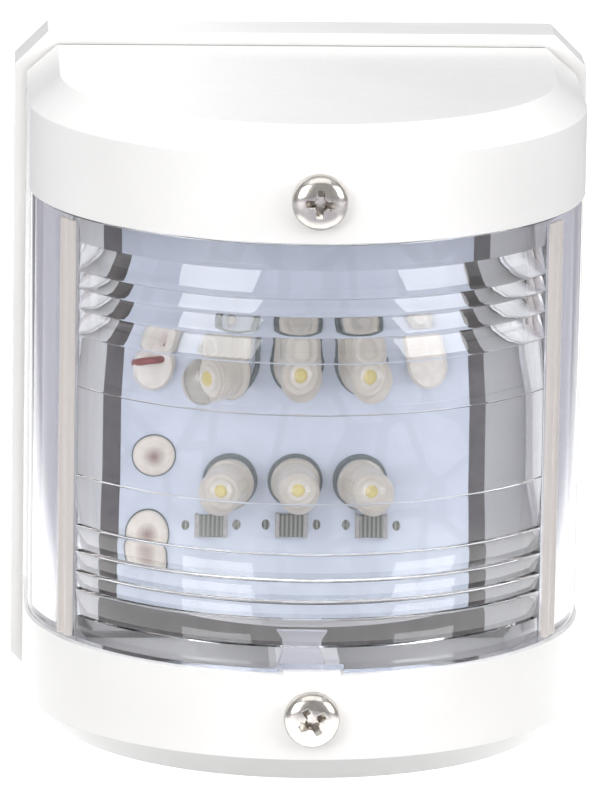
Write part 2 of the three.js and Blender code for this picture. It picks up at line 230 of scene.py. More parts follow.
def finishPiece(piece, materials, replaced=()):
    piece.data.materials.clear()
    for material in materials:
        piece.data.materials.append(material)
    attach(piece, "root")
    if replaced:
        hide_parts(*replaced)
    return piece


def linear(code):
    parts = [int(code[i:i + 2], 16) / 255 for i in (1, 3, 5)]
    return [c / 12.92 if c <= 0.04045 else ((c + 0.055) / 1.055) ** 2.4 for c in parts] + [1]


def addNode(tree, kind, values=None, links=None, **settings):
    node = tree.nodes.new("ShaderNode" + kind)
    for name, value in settings.items():
        setattr(node, name, value)
    for name, value in (values or {}).items():
        node.inputs[name].default_value = value
    for name, source in (links or {}).items():
        tree.links.new(source, node.inputs[name])
    return node


def newMaterial(name, color, roughness, **values):
    material = bpy.data.materials.new(name)
    material.use_nodes = True
    tree = material.node_tree
    surface = tree.nodes["Principled BSDF"]
    surface.inputs["Base Color"].default_value = linear(color)
    surface.inputs["Roughness"].default_value = roughness
    for socket, value in values.items():
        surface.inputs[socket.replace("_", " ")].default_value = value
    place = addNode(tree, "TexCoord").outputs["Object"]
    return material, tree, surface, place


# Two colours that drift into each other over a real distance
def drift(tree, place, colors, size, detail=2, low=0.35, high=0.65):
    noise = addNode(tree, "TexNoise", {"Scale": 1 / size, "Detail": detail}, {"Vector": place})
    ramp = addNode(tree, "ValToRGB", links={"Fac": noise.outputs["Fac"]})
    ramp.color_ramp.elements[0].position = low
    ramp.color_ramp.elements[1].position = high
    ramp.color_ramp.elements[0].color = linear(colors[0])
    ramp.color_ramp.elements[1].color = linear(colors[1])
    return ramp.outputs["Color"]


def roughen(tree, surface, place, size, low, high, detail=3):
    noise = addNode(tree, "TexNoise", {"Scale": 1 / size, "Detail": detail}, {"Vector": place})
    spread = addNode(tree, "MapRange", {"To Min": low, "To Max": high},
                     {"Value": noise.outputs["Fac"]})
    tree.links.new(spread.outputs["Result"], surface.inputs["Roughness"])


# Gloss white ASA, injection moulded: clean and bright, with a faint orange peel in its shine
def whiteAsa():
    gloss = {"peel": 2.2 * mm, "peelDepth": 0.012 * mm, "cloud": 25 * mm, "grain": 0.35 * mm}
    material, tree, surface, place = newMaterial("gloss_white_asa", "#f7f6f5", 0.24, IOR=1.52)
    tone = drift(tree, place, ["#f4f3f2", "#f9f8f7"], gloss["cloud"])
    tree.links.new(tone, surface.inputs["Base Color"])
    roughen(tree, surface, place, gloss["grain"], 0.2, 0.3)
    peel = addNode(tree, "TexNoise", {"Scale": 1 / gloss["peel"], "Detail": 2}, {"Vector": place})
    bump = addNode(tree, "Bump", {"Distance": gloss["peelDepth"]}, {"Height": peel.outputs["Fac"]})
    tree.links.new(bump.outputs["Normal"], surface.inputs["Normal"])
    return material


# Clear polycarbonate: polished mould faces, with faint flow lines. Its faint cool grey is a
# painted shade: it darkens all that is seen through the lens, the inside of the light included.
# Lamps shine through it by the shadow ray's transparent side, since glass alone blocks them; the
# grey passes colour is a painted shade too, dimming the lamp light that reaches the inside
def clearPolycarbonate(name="clear_polycarbonate", color="#e9eaed", roughness=0.0,
                       passes="#b4b6ba", flow=0.004 * mm):
    clear = {"flowSize": 5 * mm, "scratch": 0.25 * mm}
    material, tree, surface, place = newMaterial(
        name, color, roughness, IOR=1.585, Transmission_Weight=1)
    stretch = addNode(tree, "Mapping", {"Scale": (1, 1, 0.25)}, {"Vector": place})
    waves = addNode(tree, "TexNoise", {"Scale": 1 / clear["flowSize"], "Detail": 2},
                    {"Vector": stretch.outputs["Vector"]})
    bump = addNode(tree, "Bump", {"Distance": flow}, {"Height": waves.outputs["Fac"]})
    tree.links.new(bump.outputs["Normal"], surface.inputs["Normal"])
    roughen(tree, surface, place, clear["scratch"], roughness, roughness + 0.05)
    # Painted shade: the grey passes colour dims the lamp light that comes through the lens
    window = addNode(tree, "BsdfTransparent", {"Color": linear(passes)})
    path = addNode(tree, "LightPath")
    both = addNode(tree, "MixShader", links={"Fac": path.outputs["Is Shadow Ray"]})
    tree.links.new(surface.outputs["BSDF"], both.inputs[1])
    tree.links.new(window.outputs["BSDF"], both.inputs[2])
    tree.links.new(both.outputs["Shader"], tree.nodes["Material Output"].inputs["Surface"])
    return material


# Lamp epoxy is cast clear resin, a little warm, with the same window for lamp light
def lampEpoxy():
    material = clearPolycarbonate("water_clear_epoxy", "#f6f1e8", 0.0, "#f4f1e8", 0.001 * mm)
    surface = material.node_tree.nodes["Principled BSDF"]
    surface.inputs["Transmission Weight"].default_value = 0.85
    return material


# Spark-eroded faces of the same moulding: milky and warm on the rails, clearer on the key
def frostedPolycarbonate(name, color, passes, clearness):
    material = clearPolycarbonate(name, color, 0.35, passes, 0.01 * mm)
    surface = material.node_tree.nodes["Principled BSDF"]
    surface.inputs["Transmission Weight"].default_value = clearness
    return material


def plainSolid(name, colors, size, roughness, peel, depth, **values):
    material, tree, surface, place = newMaterial(name, colors[0], roughness[0], **values)
    tree.links.new(drift(tree, place, colors, size), surface.inputs["Base Color"])
    roughen(tree, surface, place, size / 3, *roughness)
    grain = addNode(tree, "TexNoise", {"Scale": 1 / peel, "Detail": 4}, {"Vector": place})
    bump = addNode(tree, "Bump", {"Distance": depth}, {"Height": grain.outputs["Fac"]})
    tree.links.new(bump.outputs["Normal"], surface.inputs["Normal"])
    return material


# Solder resist over glass fibre laminate: satin pale blue-white, the copper showing faintly
def solderResist():
    mask = {"weave": 0.45 * mm, "weaveDepth": 0.002 * mm, "copper": 7 * mm, "cloud": 3 * mm}
    material, tree, surface, place = newMaterial("white_solder_resist", "#c9cfe0", 0.3, IOR=1.5)
    copper = addNode(tree, "TexVoronoi", {"Scale": 1 / mask["copper"]}, {"Vector": place},
                     distance="CHEBYCHEV", feature="DISTANCE_TO_EDGE")
    track = addNode(tree, "MapRange", {"From Min": 0.05, "From Max": 0.09, "To Min": 0.0,
                                       "To Max": 1.0}, {"Value": copper.outputs["Distance"]})
    tone = drift(tree, place, ["#cad1dd", "#d0d7e3"], mask["cloud"])
    mix = addNode(tree, "Mix", links={"Factor": track.outputs["Result"]}, data_type="RGBA")
    mix.inputs[6].default_value = linear("#c6cdd9")
    tree.links.new(tone, mix.inputs[7])
    tree.links.new(mix.outputs[2], surface.inputs["Base Color"])
    roughen(tree, surface, place, mask["cloud"], 0.25, 0.4)
    weave = addNode(tree, "TexNoise", {"Scale": 1 / mask["weave"], "Detail": 2},
                    {"Vector": place})
    bump = addNode(tree, "Bump", {"Distance": mask["weaveDepth"]},
                   {"Height": weave.outputs["Fac"]})
    tree.links.new(bump.outputs["Normal"], surface.inputs["Normal"])
    return material


# Moulded chip body: olive and matt, with pale stripes at the pitch of its resistor network
def chipBody():
    network = {"pitch": 0.55 * mm, "dark": "#3a3c33", "pale": "#8b8c80"}
    material = plainSolid("moulded_chip_body", ["#45473f", "#33352e"], 0.4 * mm, (0.4, 0.6),
                          0.06 * mm, 0.004 * mm, IOR=1.55)
    tree = material.node_tree
    place = addNode(tree, "TexCoord").outputs["Object"]
    # A wave texture of scale 0.314 has one stripe to the metre
    stripes = addNode(tree, "TexWave", {"Scale": 0.314 / network["pitch"], "Distortion": 0.4},
                      {"Vector": place})
    mix = addNode(tree, "Mix", links={"Factor": stripes.outputs["Fac"]}, data_type="RGBA")
    mix.inputs[6].default_value = linear(network["dark"])
    mix.inputs[7].default_value = linear(network["pale"])
    tree.links.new(mix.outputs[2], tree.nodes["Principled BSDF"].inputs["Base Color"])
    return material


white = whiteAsa()
polycarbonate = clearPolycarbonate()
frosted = frostedPolycarbonate("frosted_polycarbonate", "#efe7e3", "#c9c4bf", 0.35)
satin = frostedPolycarbonate("satin_polycarbonate", "#d6d5de", "#c9c9cf", 0.7)
epoxy = lampEpoxy()
resist = solderResist()
# Nitrile rubber: dull dark grey with a soft bloom
nitrile = plainSolid("nitrile_rubber", ["#6f6d68", "#63615d"], 1.5 * mm, (0.6, 0.8),
                     0.15 * mm, 0.01 * mm, IOR=1.5)
# Vulcanised fibre sheet: matt dark brown-grey with a fibrous mottle. It is put behind the board to
# stand in for the shade in the gaps round the board's edges: painted shade
backingShade = plainSolid("vulcanised_fibre", ["#57514f", "#47423f"], 0.9 * mm, (0.6, 0.8),
                   0.2 * mm, 0.001 * mm, IOR=1.5)
# Polished stainless steel, barrel tumbled: bright, slightly warm, hairline scuffs
stainless = plainSolid("polished_stainless_steel", ["#cbc6c0", "#bdb8b3"], 0.8 * mm,
                       (0.08, 0.2), 0.08 * mm, 0.002 * mm, Metallic=1)
# Turned brass: warm yellow, satin from the tool
brass = plainSolid("turned_brass", ["#d0a95a", "#b98f45"], 0.7 * mm, (0.2, 0.35),
                   0.1 * mm, 0.004 * mm, Metallic=1)
# Reflow tinned pads and legs: soft grey metal with a grainy frost
tin = plainSolid("tin_lead_solder", ["#cdc9c4", "#b5b1ad"], 0.4 * mm, (0.25, 0.45),
                 0.08 * mm, 0.006 * mm, Metallic=1)
chip = chipBody()
# Natural nylon: warm waxy white
nylon = plainSolid("natural_nylon", ["#eae4da", "#ded6cb"], 1.0 * mm, (0.35, 0.5),
                   0.3 * mm, 0.01 * mm, IOR=1.53)
# Yttrium phosphor in silicone: dry bright yellow powder look
phosphor = plainSolid("yellow_phosphor", ["#f0e070", "#e6d055"], 0.25 * mm, (0.5, 0.7),
                      0.05 * mm, 0.004 * mm)
# Diffusing epoxy round the lead frame: warm milky white, waxy where light gets into it
milky = plainSolid("milky_epoxy", ["#f0ebe2", "#e8e1d6"], 1.5 * mm, (0.3, 0.45),
                   0.2 * mm, 0.004 * mm, IOR=1.53)
# Dull, smooth grey-green rings on the board round the lamps' feet and the lead dabs: painted
# shade, standing in for the shade in the gaps round them
paintedRingShade = plainSolid("grey_fibre_washer", ["#566160", "#667170"], 0.3 * mm, (0.45, 0.6),
                 0.1 * mm, 0.002 * mm)
# Wire insulation: soft PVC, extruded, slightly waxy
redPvc = plainSolid("red_pvc", ["#93403b", "#84342f"], 1.2 * mm, (0.35, 0.5),
                    0.3 * mm, 0.01 * mm, IOR=1.53)
blackPvc = plainSolid("black_pvc", ["#26262a", "#1d1d20"], 1.2 * mm, (0.35, 0.5),
                      0.3 * mm, 0.01 * mm, IOR=1.53)
print("materials ready")


# Metres and degrees; a long lens from a little above and just left of straight ahead
cameraView = {"place": (-0.054988, -1.218395, 0.274481), "lens": 428.79,
              "ahead": (0.04463866, 0.97344335, -0.22453381),
              "upward": (-0.00537416, 0.22498859, 0.97434658)}


def makeCamera():
    ahead = Vector(cameraView["ahead"]).normalized()
    right = ahead.cross(Vector(cameraView["upward"])).normalized()
    upward = right.cross(ahead)
    bpy.ops.object.camera_add()
    camera = bpy.context.object
    turn = Matrix((right, upward, -ahead)).transposed().to_4x4()
    camera.matrix_world = Matrix.Translation(cameraView["place"]) @ turn
    camera.data.lens = cameraView["lens"]
    camera.data.sensor_width = 36
    camera.data.clip_end = 50
    bpy.context.scene.camera = camera


# Brightness overhead, ahead and underfoot; a narrow bright pool painted on the floor behind the
# light, where the floor glows and is paler, so that its clear edges read against the darker room
# on either side
studio = {"floorSize": 12.0, "wallDistance": 3.0, "curve": 0.8,
          "leftBox": {"turn": -40, "rise": 20, "distance": 0.8, "size": (0.46, 0.42),
                      "power": 2.8, "shine": 3.6},
          "rightBox": {"turn": 54, "rise": 20, "distance": 0.8, "size": (0.42, 0.40),
                       "power": 2.5, "shine": 3.4},
          "topBox": {"turn": 0, "rise": 64, "distance": 1.2, "size": (1.3, 0.9), "power": 3.5,
                     "shine": 0},
          "overhead": 0.85, "ahead": 0.5, "under": 0.42, "underBand": (-0.35, -0.1),
          "overheadBand": (0.6, 0.8), "glow": 1.0, "glowHalf": 0.075, "glowEnd": 0.115,
          # The floor's two colours: lilac grey outside the pool, a painted shade, and near white
          # inside it, painted light
          "glowFront": (-0.16, -0.09), "paintedPool": ("#cfced8", "#f4f4f4")}


def makeFloor():
    deselectAll()
    size, wall = studio["floorSize"], studio["wallDistance"]
    depth = plateLow.z
    bpy.ops.mesh.primitive_plane_add(size=size, location=(0, wall - size / 2, depth))
    floor = settle("floor")
    startEdit(floor, "EDGE")
    selectEdges(lambda a, b: min(a.y, b.y) > wall - mm)
    bpy.ops.mesh.extrude_region_move(TRANSFORM_OT_translate={"value": (0, 0, size / 2)})
    selectEdges(lambda a, b: min(a.y, b.y) > wall - mm and max(a.z, b.z) < depth + mm)
    bpy.ops.mesh.bevel(offset=studio["curve"], segments=24, affect="EDGES")
    endEdit()
    shade(floor, 60)
    # Matt painted studio board, with a painted pool of light down its middle: there it glows and
    # is near white; outside the pool its colour is lilac grey, a painted shade
    matt = plainSolid("matt_white_floor", ["#f6f6f6", "#f2f2f2"], 300 * mm, (0.7, 0.8),
                      5 * mm, 0.02 * mm)
    tree = matt.node_tree
    surface = tree.nodes["Principled BSDF"]
    place = addNode(tree, "TexCoord").outputs["Object"]
    across = addNode(tree, "SeparateXYZ", links={"Vector": place})
    aside = addNode(tree, "Math", links={"Value": across.outputs["X"]}, operation="ABSOLUTE")
    pool = addNode(tree, "MapRange", {"From Min": studio["glowHalf"],
                                      "From Max": studio["glowEnd"], "To Min": 1.0, "To Max": 0.0},
                   {"Value": aside.outputs["Value"]}, interpolation_type="SMOOTHSTEP")
    fadeStart, fadeEnd = studio["glowFront"]
    front = addNode(tree, "MapRange", {"From Min": fadeStart, "From Max": fadeEnd},
                    {"Value": across.outputs["Y"]}, interpolation_type="SMOOTHSTEP")
    both = addNode(tree, "Math", {1: 0}, operation="MULTIPLY")
    tree.links.new(pool.outputs["Result"], both.inputs[0])
    tree.links.new(front.outputs["Result"], both.inputs[1])
    # Painted light: the floor glows in the pool, though it is no lamp
    glow = addNode(tree, "Math", {1: studio["glow"]}, {0: both.outputs["Value"]},
                   operation="MULTIPLY")
    tree.links.new(glow.outputs["Value"], surface.inputs["Emission Strength"])
    # Painted light and shade: near white in the pool, lilac grey outside it
    paintedPool = addNode(tree, "Mix", links={"Factor": both.outputs["Value"]}, data_type="RGBA")
    paintedPool.inputs[6].default_value = linear(studio["paintedPool"][0])
    paintedPool.inputs[7].default_value = linear(studio["paintedPool"][1])
    tree.links.new(paintedPool.outputs[2], surface.inputs["Base Color"])
    surface.inputs["Emission Color"].default_value = (1, 1, 1, 1)
    floor.data.materials.append(matt)
    # The floor throws no light back up, so that the lower bevel stays in soft shade
    floor.visible_diffuse = False


# A soft box on an arc about the object
def addBox(name, box):
    turn, rise = radians(box["turn"]), radians(box["rise"])
    toward = Vector((sin(turn) * cos(rise), -cos(turn) * cos(rise), sin(rise)))
    target = Vector((0, -0.04, 0))
    bpy.ops.object.light_add(type="AREA", location=target + toward * box["distance"])
    light = bpy.context.object
    light.name = name
    light.rotation_euler = toward.to_track_quat("Z", "Y").to_euler()
    light.data.shape = "RECTANGLE"
    light.data.size, light.data.size_y = box["size"]
    light.data.energy = box["power"]
    # A twin that shows only in polished faces, where the soft box has to read as a bright block
    if box["shine"]:
        twin = light.copy()
        twin.data = light.data.copy()
        twin.name = name + "Shine"
        twin.data.energy = box["power"] * box["shine"]
        twin.visible_diffuse = False
        bpy.context.scene.collection.objects.link(twin)


def makeStudio():
    makeFloor()
    for name in ("leftBox", "rightBox", "topBox"):
        addBox(name, studio[name])
    world = bpy.data.worlds.new("studio")
    bpy.context.scene.world = world
    world.use_nodes = True
    background = world.node_tree.nodes["Background"]
    background.inputs["Color"].default_value = (1, 1, 1, 1)
    tree = world.node_tree
    # The room's light by height: under, ahead and overhead
    around = addNode(tree, "TexCoord").outputs["Generated"]
    toward = addNode(tree, "SeparateXYZ", links={"Vector": around})
    low = addNode(tree, "MapRange", {"From Min": studio["underBand"][0],
                                     "From Max": studio["underBand"][1],
                                     "To Min": studio["under"], "To Max": studio["ahead"]},
                  {"Value": toward.outputs["Z"]}, interpolation_type="SMOOTHSTEP")
    high = addNode(tree, "MapRange", {"From Min": studio["overheadBand"][0],
                                      "From Max": studio["overheadBand"][1], "To Min": 0.0,
                                      "To Max": studio["overhead"] - studio["ahead"]},
                   {"Value": toward.outputs["Z"]}, interpolation_type="SMOOTHSTEP")
    total = addNode(tree, "Math", links={0: low.outputs["Result"]}, operation="ADD")
    tree.links.new(high.outputs["Result"], total.inputs[1])
    tree.links.new(total.outputs["Value"], background.inputs["Strength"])
    bpy.context.scene.view_settings.view_transform = "Standard"


makeCamera()
makeStudio()
print("studio ready")


housing = {"wall": 2.4 * mm, "bevelDrop": 3.5 * mm, "bevelRun": 4 * mm, "rimDepth": 3.4 * mm,
           "hole": 4.1 * mm, "tabHalf": 3.65 * mm, "edge": 0.35 * mm, "sides": 176}


# A straight-sided D on its back edge, with sloping shoulders above and below
def shellForm(name, inset, halfTall, run, back):
    radius = noseRadius - inset
    drop = housing["bevelDrop"] * run / housing["bevelRun"]
    tall = halfTall - drop
    deselectAll()
    bpy.ops.mesh.primitive_cylinder_add(
        vertices=housing["sides"], radius=radius, depth=2 * tall, location=(0, noseCentre, 0))
    piece = settle(name)
    startEdit(piece)
    bpy.ops.mesh.select_all(action="SELECT")
    bpy.ops.mesh.bisect(plane_co=(0, noseCentre, 0), plane_no=(0, 1, 0), clear_outer=True,
                        use_fill=True)
    reach = back - noseCentre + 2 * run
    bpy.ops.mesh.extrude_region_move(TRANSFORM_OT_translate={"value": (0, reach, 0)})
    if run:
        for side in (1, -1):
            selectFaces(lambda centre, normal: normal.z * side > 0.9)
            bpy.ops.mesh.inset(thickness=run, depth=drop)
    bpy.ops.mesh.select_all(action="SELECT")
    bpy.ops.mesh.bisect(plane_co=(0, back, 0), plane_no=(0, 1, 0), clear_outer=True,
                        use_fill=True)
    endEdit()
    cleanMesh(piece)
    return piece


def makeHousing():
    wall = housing["wall"]
    shell = shellForm("housing", 0, halfHeight, housing["bevelRun"], housingBack)
    hollow = shellForm("hollow", wall, halfHeight - wall, housing["bevelRun"] - 1 * mm,
                       housingBack + 5 * mm)
    rimFront = housingBack - housing["rimDepth"]
    window = block("window", (-0.04, noseTip - 0.002, -windowHalf), (0.04, rimFront, windowHalf))
    holes = [bar("hole", housing["hole"], (noseTip - 0.002, noseTip + 0.005), 0,
                 side * screwHeight) for side in (-1, 1)]
    cutAway(shell, [hollow, window] + holes)
    tabHalf = housing["tabHalf"]
    tab = block("tab", (-tabHalf, noseTip + 0.15 * mm, -windowHalf - 0.6 * mm),
                (tabHalf, noseTip + wall - 0.3 * mm, -windowHalf + 0.45 * mm))
    combine(shell, [tab])
    soften(shell, housing["edge"], 3, 28)
    finishPiece(shell, [white], ["housing_frame"])


makeHousing()
print("housing ready")


plate = {"corner": 4.3 * mm, "wall": 2.4 * mm, "edge": 0.6 * mm, "fixingSide": 26 * mm,
         "fixingHole": 4.5 * mm, "depth": 8.4 * mm, "seatDepth": 0.5 * mm, "boss": 11 * mm,
         "pad": 14 * mm, "pillar": 7 * mm, "postBore": 3.6 * mm, "cableDrop": -15 * mm,
         "cableHole": 8.6 * mm, "armWidth": 8 * mm, "armHeight": 7 * mm,
         "insertBore": 5.6 * mm, "insertDepth": 8.4 * mm, "webHalf": 13 * mm,
         "webHeight": 2.4 * mm, "webReach": 9 * mm, "ribSide": 14.5 * mm, "ribRise": 24 * mm,
         "ribTall": 41 * mm, "ribWide": 35.5 * mm, "ribThickness": 1.2 * mm,
         "ribBack": -2.2 * mm}


# An upright panel with cut corners, from one depth to another
def panel(name, halfWide, halfTall, corner, depths):
    front, back = depths
    piece = block(name, (-halfWide, front, -halfTall), (halfWide, back, halfTall))
    startEdit(piece, "EDGE")
    selectEdges(lambda a, b: abs(a.x - b.x) < mm / 10 and abs(a.z - b.z) < mm / 10)
    bpy.ops.mesh.bevel(offset=corner, segments=1, affect="EDGES")
    endEdit()
    return piece


def makeBackPlate():
    halfWide, halfTall = plateHigh.x, plateHigh.z
    front = -plate["depth"]
    wall = plate["wall"]
    seat = front + plate["seatDepth"]
    armEnd = plateLow.y
    boardRear = boardHigh.y
    body = panel("backPlate", halfWide, halfTall, plate["corner"], (front, 0))
    hollow = panel("hollow", halfWide - wall, halfTall - wall, plate["corner"] - mm,
                   (front + wall, 1 * mm))
    cutAway(body, [hollow])
    added = [bar("boss", plate["boss"], (0, seat), side * plate["fixingSide"], 0)
             for side in (-1, 1)]
    added.append(bar("pad", plate["pad"], (0, seat), 0, 0))
    added.append(bar("cableBoss", plate["pad"], (seat, front + wall + 0.6 * mm), 0,
                     plate["cableDrop"]))
    added += [bar("pillar", plate["pillar"], (seat, boardRear + 0.2 * mm), post.x, post.z)
              for post in postPlaces]
    armHalf, armTall = plate["armWidth"] / 2, plate["armHeight"] / 2
    webHalf, webTall = plate["webHalf"], plate["webHeight"] / 2
    for side in (-1, 1):
        height = side * screwHeight
        added.append(block("arm", (-armHalf, armEnd, height - armTall),
                           (armHalf, seat, height + armTall)))
        added.append(block("web", (-webHalf, front - plate["webReach"], height - webTall),
                           (webHalf, seat, height + webTall)))
    # Stiffening ribs inside the rear recess
    ribHalf, ribBack = plate["ribThickness"] / 2, plate["ribBack"]
    ribTall, ribWide = plate["ribTall"], plate["ribWide"]
    for side in (-1, 1):
        across, rise = side * plate["ribSide"], side * plate["ribRise"]
        added.append(block("rib", (across - ribHalf, seat, -ribTall),
                           (across + ribHalf, ribBack, ribTall)))
        added.append(block("rib", (-ribWide, seat, rise - ribHalf),
                           (ribWide, ribBack, rise + ribHalf)))
    combine(body, added)
    holes = [bar("hole", plate["fixingHole"], (front - mm, mm), side * plate["fixingSide"], 0)
             for side in (-1, 1)]
    holes += [bar("bore", plate["insertBore"], (armEnd - mm, armEnd + plate["insertDepth"]), 0,
                  side * screwHeight) for side in (-1, 1)]
    holes += [bar("bore", plate["postBore"], (boardRear - mm, boardRear + 9 * mm), post.x, post.z)
              for post in postPlaces]
    holes.append(bar("cableHole", plate["cableHole"], (front - mm, mm), 0, plate["cableDrop"]))
    cutAway(body, holes)
    soften(body, plate["edge"], 2, 30)
    finishPiece(body, [white], ["back_plate"])


makeBackPlate()
print("back plate ready")


lens = {"face": lensHigh.x, "lip": 33.3 * mm, "inside": 32.2 * mm, "faceHalf": 27.7 * mm,
        "lipHalf": 29.6 * mm, "ribHalf": 57.2, "ridge": lensHigh.x - 0.05 * mm, "nose": 0.22,
        "stepsPerDegree": 0.6, "rails": [59.2, 62], "railRadius": 0.95 * mm,
        "keyHalf": 3.65 * mm, "keyMiddle": -1.2 * mm, "notchHalf": 3.95 * mm}
# Each rib's outer edge in mm from the middle, and its lean in degrees at its two edges
ribs = [(5.7, 0, 0.5), (12.3, 1, 8), (15.7, 10, 26), (18.4, 13, 26), (20.7, 13, 25),
        (24.4, 8, 22)]
# The key's waisted outline: part of its half width, and height in mm
keyFlare = [(-1, -29.6), (1, -29.6), (0.8, -27.5), (0.62, -25.5), (0.66, -23.6), (0.85, -22.5),
            (-0.85, -22.5), (-0.66, -23.6), (-0.62, -25.5), (-0.8, -27.5)]


# The ribbed outline from the bottom up: every rib starts at full radius with a rounded nose
def ribOutline():
    points = [(lens["ridge"], 0)]
    start = 0
    for end, nearLean, farLean in ribs:
        radius = lens["ridge"]
        if start:
            nose = lens["nose"]
            for turn in (10, 35, 60, 80):
                points.append((radius - nose * (1 - sin(radians(turn))) * mm,
                               (start + nose * (1 - cos(radians(turn)))) * mm))
            start += nose
            points.append((radius, start * mm))
            start += 0.06
        steps = 4
        height = (end - start) / steps
        for step in range(steps + 1):
            if step:
                lean = radians(nearLean + (farLean - nearLean) * (step - 0.5) / steps)
                radius -= tan(lean) * height * mm
            if step or end > ribs[0][0]:
                points.append((radius, (start + height * step) * mm))
        start = end
    points.append((lens["ridge"] - lens["nose"] * mm, start * mm + 0.05 * mm))
    return [(radius, -z) for radius, z in reversed(points[1:])] + points


# Spins a closed [radius, height] outline about the nose's upright axis
def spunWall(name, outline, fromAngle, toAngle):
    start = radians(fromAngle)
    points = [(radius * sin(start), noseCentre - radius * cos(start), z) for radius, z in outline]
    piece = drawOutline(name, points, filled=True)
    startEdit(piece)
    bpy.ops.mesh.select_all(action="SELECT")
    steps = round(abs(toAngle - fromAngle) * lens["stepsPerDegree"])
    bpy.ops.mesh.spin(steps=steps, angle=radians(fromAngle - toAngle),
                      center=(0, noseCentre, 0), axis=(0, 0, 1))
    endEdit()
    cleanMesh(piece)
    return piece


def makeLens():
    face, lip, inside = lens["face"], lens["lip"], lens["inside"]
    faceHalf, lipHalf = lens["faceHalf"], lens["lipHalf"]
    back = lensHigh.y
    edge = [(inside, -lipHalf), (lip, -lipHalf), (lip, -faceHalf), (face, -faceHalf)]
    crown = [(face, faceHalf), (lip, faceHalf), (lip, lipHalf), (inside, lipHalf)]
    body = spunWall("lens", edge + ribOutline() + crown, -lens["ribHalf"], lens["ribHalf"])
    for side in (-1, 1):
        wing = spunWall("wing", edge + crown, side * (lens["ribHalf"] - 0.4), side * 90)
        startEdit(wing)
        selectFaces(lambda centre, normal: centre.y > noseCentre - mm / 100)
        bpy.ops.mesh.extrude_region_move(
            TRANSFORM_OT_translate={"value": (0, back - noseCentre, 0)})
        endEdit()
        cleanMesh(wing)
        combine(body, [wing])
    inner = noseCentre - inside
    key = drawOutline("key", [(lens["keyMiddle"] + across * lens["keyHalf"], inner + 1.8 * mm,
                               z * mm) for across, z in keyFlare], filled=True)
    startEdit(key)
    bpy.ops.mesh.select_all(action="SELECT")
    bpy.ops.mesh.extrude_region_move(TRANSFORM_OT_translate={"value": (0, -2.6 * mm, 0)})
    endEdit()
    cleanMesh(key)
    notch = block("notch", (-lens["notchHalf"], noseTip - 2 * mm, -lipHalf - mm),
                  (lens["notchHalf"], inner + 0.5 * mm, -windowHalf + 0.75 * mm))
    finishPiece(body, [polycarbonate, frosted, satin], ["lens"])
    key.data.materials.append(satin)
    combine(body, [key])
    notch.data.materials.append(polycarbonate)
    cutAway(body, [notch])
    rails = []
    for side in (-1, 1):
        for angle in lens["rails"]:
            turn = radians(angle)
            radius = face - 0.35 * mm
            deselectAll()
            bpy.ops.mesh.primitive_cylinder_add(
                vertices=24, radius=lens["railRadius"], depth=2 * faceHalf - mm,
                location=(side * radius * sin(turn), noseCentre - radius * cos(turn), 0))
            rail = settle("rail")
            rail.data.materials.append(frosted)
            rails.append(rail)
    combine(body, rails)
    shade(body, 32)


makeLens()
print("lens ready")


screw = {"head": 3.55 * mm, "height": 2.3 * mm, "shank": 1.75 * mm, "length": 14 * mm,
         "seat": noseTip - 0.05 * mm, "threadPitch": 0.7 * mm, "threadDepth": 0.3 * mm,
         "turns": {"screwUpper": 4, "screwLower": -30}}


def makeScrew():
    head, height, shank = screw["head"], screw["height"], screw["shank"]
    dome = [(head * cos(radians(a)) ** 0.7, -0.9 * mm - (height - 0.9 * mm) * sin(radians(a)))
            for a in range(0, 90, 10)]
    outline = [(0, screw["length"]), (shank - 0.6 * mm, screw["length"]),
               (shank, screw["length"] - 0.8 * mm)]
    # Thread: one ridge to each pitch of the shank
    for turn in range(16):
        root = screw["length"] - 1.2 * mm - turn * screw["threadPitch"]
        outline += [(shank, root), (shank - screw["threadDepth"], root - screw["threadPitch"] / 2)]
    outline += [(shank, 1.2 * mm), (shank, 0), (head - 0.15 * mm, 0), (head, -0.25 * mm)]
    outline += dome + [(0, -height)]
    piece = turned("screw", outline, steps=56)
    # Cross recess: four flutes that narrow towards the point
    cutters = []
    for turn in (0, pi / 2):
        flute = block("flute", (-2.6 * mm, -height - mm, -0.5 * mm),
                      (2.6 * mm, -height + 1.9 * mm, 0.5 * mm))
        startEdit(flute)
        selectFaces(lambda centre, normal: normal.y > 0.9)
        bpy.ops.transform.resize(value=(0.25, 1, 0.7), center_override=(0, 0, 0))
        endEdit()
        cutters.append(shift(flute, turn=turn, axis="Y"))
    core = bar("core", 2.5 * mm, (-height - mm, -height + 1.7 * mm), 0, 0, 16)
    startEdit(core)
    selectFaces(lambda centre, normal: normal.y > 0.9)
    bpy.ops.transform.resize(value=(0.35, 1, 0.35), center_override=(0, 0, 0))
    endEdit()
    cutAway(piece, cutters + [core])
    applyModifier(piece, "BEVEL", width=0.05 * mm, segments=2, limit_method="ANGLE",
                  angle_limit=radians(35), use_clamp_overlap=True)
    shade(piece, 35)
    return piece


firstScrew = makeScrew()
for name, side, node in (("screwUpper", 1, "screw_upper"), ("screwLower", -1, "screw_lower")):
    piece = copyPiece(firstScrew, name)
    shift(piece, 0, screw["seat"], side * screwHeight, radians(screw["turns"][name]), "Y")
    finishPiece(piece, [stainless], [node])
bpy.data.objects.remove(firstScrew)
print("screws ready")


lamp = {"radius": 2.7 * mm, "flange": 3.15 * mm, "height": 8.2 * mm, "legSide": 1.27 * mm,
        "lean": {"upper": (-42, 3, 9), "lower": (-15, 2, 13)}, "pitch": 8.25 * mm}


# Where a lamp's legs stand: across the board, and its height
def lampFoot(row, column):
    return boardMiddle + columns[column] * lamp["pitch"], middle(f"led_{row}_{column}").z


